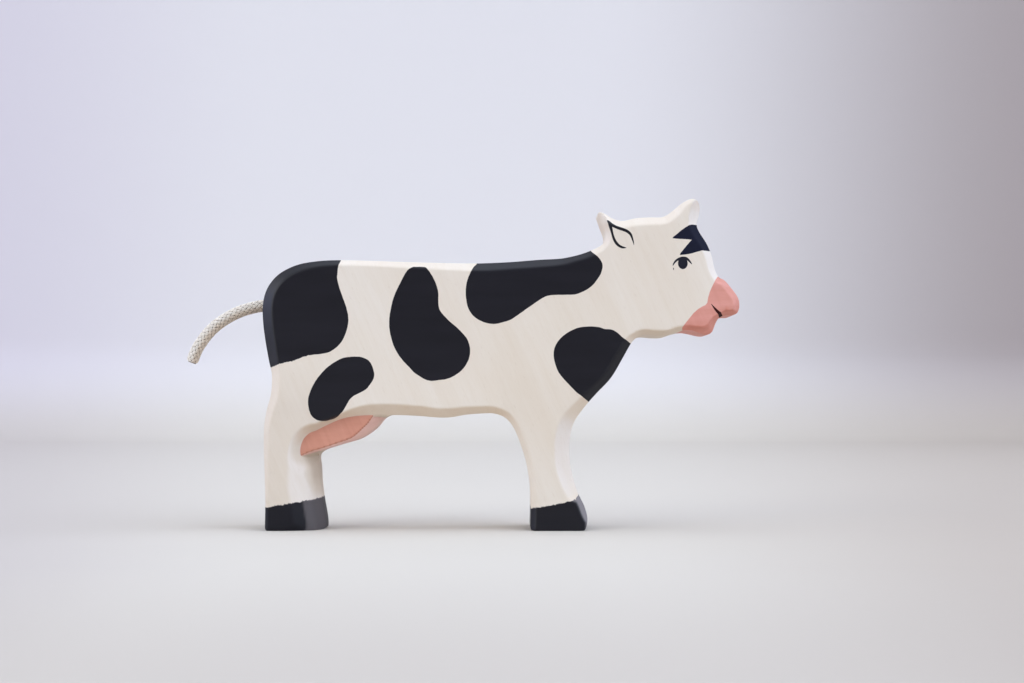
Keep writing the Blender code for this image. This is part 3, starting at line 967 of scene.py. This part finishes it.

# Painted shade: the lower legs a little darker, the hind leg more, and the deepest cuts down to just
# above the hind sole
lower_leg = ramp(z, 0.052, 0.038)
hind_leg = lower_leg * ramp(x, -0.050, -0.056)
deep_cut = ramp(body, 0.0030, 0.0064) * np.maximum(ramp(z, 0.0085, 0.0170), 0.15)
leg_and_cut_shade = np.where(fore, 0.10 * lower_leg, np.maximum(0.32 * hind_leg * (1 - painted_front_light), deep_cut))

# Painted sheen and dull black: the hooves' front cuts are painted grey where they would catch the light,
# and the forelock and mouth are dull against the glossier eye
hoof = z < 0.016
head = x > 0.045
mouth_side = x > 0.060
mouth_top = 0.0745
eye_top = 0.0857
hoof_cut = np.where(fore, ramp(body, 0, 0.0006), 0.45 * ramp(body, 0.0016, 0.0019))
hoof_painted_sheen = hoof * hoof_cut * ramp(to_nose, 0, 0.1) * (
    0.35 + 0.65 * ramp(np.abs(to_side), 0.15, 0.35))
marks = {
    "black_edge": 1000 * black,
    "muzzle_edge": 1000 * from_edge(on_plan, muzzle_loop),
    "udder_edge": 1000 * np.clip(udder_paint, -udder_reach, udder_reach),
    "line_edge": 1000 * np.clip(lines, -paint_reach, paint_reach),
    "udder_bevel": ramp(udder, udder_face, udder_face + udder_reach),
    "ragged": ramp(z, 0.014, 0.011) + 0.5 * (x < -0.060) * ramp(np.abs(z - 0.0535), 0.0064, 0.0024),
    # Painted shade on the undersides, painted light on the fronts of the cuts, painted shade on the legs
    # and deep cuts
    "underside": ramp(to_top, -0.15, -0.65), "painted_front_light": painted_front_light, "leg_and_cut_shade": leg_and_cut_shade,
    # Painted sheen on the hooves' front cuts
    "hoof_painted_sheen": hoof_painted_sheen,
    # Where the black gets a painted blue reflection: the head above the mouth, most above the eye
    "forelock": head * (z > mouth_top) * np.maximum(ramp(z, eye_top, eye_top + 0.0006), 0.4),
    "lips": mouth_side * ramp(z, mouth_top, mouth_top - 0.001),
    "dull": np.maximum(head & ((z > eye_top) | (z < mouth_top)), 0.4 * (hoof & (x < -0.030)))}
for name, values in marks.items():
    layer = bored.attributes.new(name, "FLOAT", "POINT")
    layer.data.foreach_set("value", values.astype(np.float32))

# The finish: clear satin oil on the bare maple, and thin paint brushed on by hand
grain_slant = 0.42
maple, shader, where = new_material("painted_maple")
sawn = put("ShaderNodeMapping", {"Vector": where, "Rotation": (0, grain_slant, 0)}).outputs[0]
broad = speckle(sawn, 60, detail=3, stretch=(1.0, 1.0, 0.22), distortion=0.5)
grain = speckle(sawn, 520, detail=4, roughness=0.6, stretch=(1.0, 1.0, 0.05))
fibres = speckle(sawn, 2400, detail=3, roughness=0.6, stretch=(1.0, 1.0, 0.08))
pores = spread(speckle(sawn, 1700, detail=2, stretch=(1.0, 1.0, 0.25)), 0.64, 0.74)
dark_grain = spread(grain, 0.40, 0.72)
wood = blend_of(spread(broad, 0.30, 0.70), srgb(229, 220, 208), srgb(223, 211, 195))
wood = stained(wood, dark_grain, 0.13, srgb(208, 190, 164))
wood = stained(wood, spread(fibres, 0.50, 0.75), 0.12, srgb(205, 187, 162))
wood = stained(wood, pores, 0.14, srgb(178, 156, 130))

# Painted shade and light: the undersides are darker and warmer, the fronts of the cuts lighter and
# bluer, and the lower legs and deepest cuts darker, as the light falls on them
underside_shade = read("underside")
wood = tinted(wood, underside_shade, 0.965, 0.885, 0.80)
# Painted light: the fronts of the cuts are lighter and bluer
wood = tinted(wood, read("painted_front_light"), 1.02, 1.04, 1.11)
# Painted shade on the lower legs and in the deepest cuts
wood = tinted(wood, read("leg_and_cut_shade"), 0.74, 0.69, 0.65)

# Each paint ends at its own edge, a little uneven, and ragged where the brush ran out
wobble = calc("SUBTRACT", speckle(where, 700, detail=3), 0.5)
bristles = calc("SUBTRACT", speckle(
    where, 1900, detail=4, roughness=0.7, stretch=(1.0, 1.0, 0.45)), 0.5)
uneven = calc("MULTIPLY_ADD", wobble, 0.16, calc(
    "MULTIPLY", bristles, calc("MULTIPLY_ADD", read("ragged"), 1.6, 0.10)))


def painted(name, softness, unevenness=1.0):
    """How far a paint covers the wood, from its edge inwards."""
    edge = calc("MULTIPLY_ADD", uneven, unevenness, read(name))
    return spread(edge, softness, -softness, smooth=True)


brushwork = speckle(where, 330, detail=4, roughness=0.6, stretch=(0.12, 1.0, 1.0))
strokes = spread(brushwork, 0.3, 0.7)
pink = blend_of(strokes, srgb(220, 156, 144), srgb(209, 142, 127))
pink = stained(pink, dark_grain, 0.25, srgb(188, 114, 98))
# Painted shade: the pink is darker and redder on the undersides
pink = tinted(pink, underside_shade, 1.0, 0.84, 0.76)

# The udder's rose is paler on its bevel, and darker in a thin line along the ridge
bevelled = read("udder_bevel")
bevel_rose = blend_of(strokes, srgb(226, 185, 171), srgb(214, 171, 157))
rose = blend_of(strokes, srgb(213, 152, 131), srgb(204, 142, 120))
rose = stained(rose, dark_grain, 0.30, srgb(184, 118, 96))
rose = blend_of(spread(bevelled, 0.02, 0.10, smooth=True), rose, srgb(180, 116, 92))
rose = blend_of(spread(bevelled, 0.12, 0.40, smooth=True), rose, bevel_rose)

# The black is a little blue on the forelock and grey on the hooves' front cuts, both painted reflections
# of the light, and red at the mouth
ink = blend_of(strokes, srgb(14, 13, 21), srgb(19, 18, 27))
# Painted reflection: the black turns blue on the head, most on the forelock
ink = blend_of(read("forelock"), ink, srgb(23, 26, 44))
ink = blend_of(read("lips"), ink, srgb(54, 19, 18))
# Painted sheen: the hooves' front cuts turn grey
ink = blend_of(read("hoof_painted_sheen"), ink, srgb(122, 116, 118))
muzzle_cover = painted("muzzle_edge", 0.09)
udder_cover = painted("udder_edge", 0.10)
black_cover = calc("MAXIMUM", painted("black_edge", 0.05), painted("line_edge", 0.05, 0.5))
colour = blend_of(muzzle_cover, wood, pink)
colour = blend_of(udder_cover, colour, rose)
colour = blend_of(black_cover, colour, ink)

# The paint is smoother than the wood and stands a little proud of it
any_paint = calc("MAXIMUM", black_cover, calc("MAXIMUM", muzzle_cover, udder_cover))
dull = calc("MULTIPLY", black_cover, read("dull"))
rough = calc("MULTIPLY_ADD", dull, 0.4, spread(black_cover, 0, 1, 0.55, 0.40))
rough = calc("MULTIPLY_ADD", calc("SUBTRACT", brushwork, 0.5), 0.12, rough)
relief = calc("MULTIPLY_ADD", grain, -0.3, calc("MULTIPLY", fibres, -0.3))
relief = calc("MULTIPLY_ADD", any_paint, 0.55, relief)
relief = calc("MULTIPLY_ADD", calc("MULTIPLY", brushwork, any_paint), 0.5, relief)
feed(shader, {
    "Base Color": colour, "Roughness": rough, "Specular IOR Level": spread(dull, 0, 1, 0.33, 0.14),
    "Normal": bump_of(relief, 0.35, 0.00006)})
cow.data.materials.append(maple)
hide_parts("carved_body")
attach(cow, "figure")

# The glue: a little wood glue that the cord's end pushed ahead of it to the bottom of the
# hole. It has dried there to a thin plug of cloudy amber.
glue, shader, where = new_material("dried_glue")
cloudy = speckle(where, 900, detail=3)
feed(shader, {
    "Base Color": blend_of(cloudy, srgb(226, 206, 158), srgb(196, 164, 108)),
    "Roughness": spread(cloudy, 0.3, 0.7, 0.25, 0.45),
    "Normal": bump_of(cloudy, 0.4, 0.0001)})
for node_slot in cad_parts["tail_glue"].material_slots:
    node_slot.material = glue

# The studio: a floor of pale paper that sweeps up into a wall behind the toy. Its colour is darkened
# towards both sides and towards the front as painted shade, and it isn't part of the object.
floor_front = -5.0
wall_place = 1.31
wall_height = 3.0
sweep_radius = 0.12
stage_half_width = 6.0
profile = [(floor_front, 0.0), (wall_place - sweep_radius, 0.0)]
profile += [(wall_place - sweep_radius + sweep_radius * math.sin(math.radians(a)),
             sweep_radius - sweep_radius * math.cos(math.radians(a))) for a in range(10, 91, 10)]
profile += [(wall_place, wall_height)]
sweep = mesh_of(
    "studio_sweep", [(x, y, z) for x in (-stage_half_width, stage_half_width) for y, z in profile], [],
    [(k, len(profile) + k, len(profile) + k + 1, k + 1) for k in range(len(profile) - 1)])
sweep.shade_smooth()
stage = placed("studio_sweep", sweep)
backdrop, shader, where = new_material("studio_paper")
spot = put("ShaderNodeSeparateXYZ", {0: where}).outputs
up_wall = spread(spot["Z"], 0, 0.10)
up_wall_softly = spread(spot["Z"], 0, 0.10, smooth=True)
sideways = calc("DIVIDE", spot["X"], calc(
    "ADD", calc("MAXIMUM", spot["Y"], -0.12), 0.5))
right_shade = blend_of(up_wall, (0.78, 0.74, 0.73, 1), (0.52, 0.47, 0.46, 1))
left_shade = blend_of(up_wall, (0.84, 0.82, 0.86, 1), (0.88, 0.85, 0.91, 1))
to_right = spread(sideways, 0.05, 0.36, smooth=True)
to_left = spread(sideways, -0.14, -0.36, smooth=True)
to_front = spread(spot["Y"], -0.10, -0.30, smooth=True)
paper = blend_of(up_wall_softly, srgb(209, 204, 195), srgb(227, 225, 227))
# Painted shade: the paper is darkened towards both sides and the front
paper = blend_of(to_right, paper, right_shade, "MULTIPLY")
paper = blend_of(to_left, paper, left_shade, "MULTIPLY")
paper = tinted(paper, to_front, 0.86, 0.84, 0.84)
paper = stained(paper, speckle(where, 400, detail=2), 0.05, srgb(205, 200, 196))
feed(shader, {"Base Color": paper, "Roughness": 0.95, "Specular IOR Level": 0.1})
sweep.materials.append(backdrop)

# The light: soft and pale all round, with brighter panels at the left and right and overhead,
# a dark card behind the viewpoint, so that the flat side doesn't shine, and a weak softbox.
world = bpy.data.worlds.new("studio_light")
world.use_nodes = True
scene.world = world
tree = world.node_tree
direction = put("ShaderNodeTexCoord").outputs["Generated"]
ways = put("ShaderNodeSeparateXYZ", {0: direction}).outputs


def panel(axis, edge, full, times=1.0):
    """How far a direction lies within a panel, from the panel's soft edge on."""
    return calc("MULTIPLY", spread(ways[axis], edge, full, smooth=True), times)


right_side = panel("X", 0.30, 0.75)
light = blend_of(panel("Z", 0.15, 0.75), (2.70, 2.75, 2.78, 1), (0.74, 0.78, 0.86, 1))
for within, brightness in (
        (panel("X", -0.30, -0.60, panel("Z", 0.70, 0.45)), (3.00, 3.03, 3.05, 1)),
        (panel("Y", -0.70, -0.95), (0.07, 0.07, 0.11, 1)),
        (panel("Z", 0.42, 0.15, right_side), (1.65, 1.95, 2.45, 1)),
        (panel("Z", 0.25, 0.45, right_side), (2.40, 2.65, 3.20, 1)),
        (panel("X", -0.82, -0.96), (1.85, 2.05, 3.00, 1)),
        (panel("Z", 0.86, 0.98), (1.56, 1.69, 1.93, 1))):
    light = blend_of(within, light, brightness)
background = tree.nodes["Background"]
tree.links.new(light, background.inputs["Color"])
seen = put("ShaderNodeBackground", {"Color": (0.74, 0.74, 0.78, 1)})
rays = put("ShaderNodeLightPath").outputs["Is Camera Ray"]
mixed = put("ShaderNodeMixShader", {0: rays, 1: background.outputs[0], 2: seen.outputs[0]})
tree.links.new(mixed.outputs[0], tree.nodes["World Output"].inputs["Surface"])

overhead = bpy.data.lights.new("overhead_softbox", "AREA")
overhead.shape = "RECTANGLE"
overhead.size = 0.9
overhead.size_y = 0.7
overhead.energy = 0.6
overhead.color = (0.92, 0.97, 1.0)
lamp = placed("overhead_softbox", overhead)
lamp.location = (0.25, -0.15, 0.95)
lamp.rotation_euler = (Vector((0, 0, 0.05)) - lamp.location).to_track_quat("-Z", "Y").to_euler()
lamp.visible_camera = False
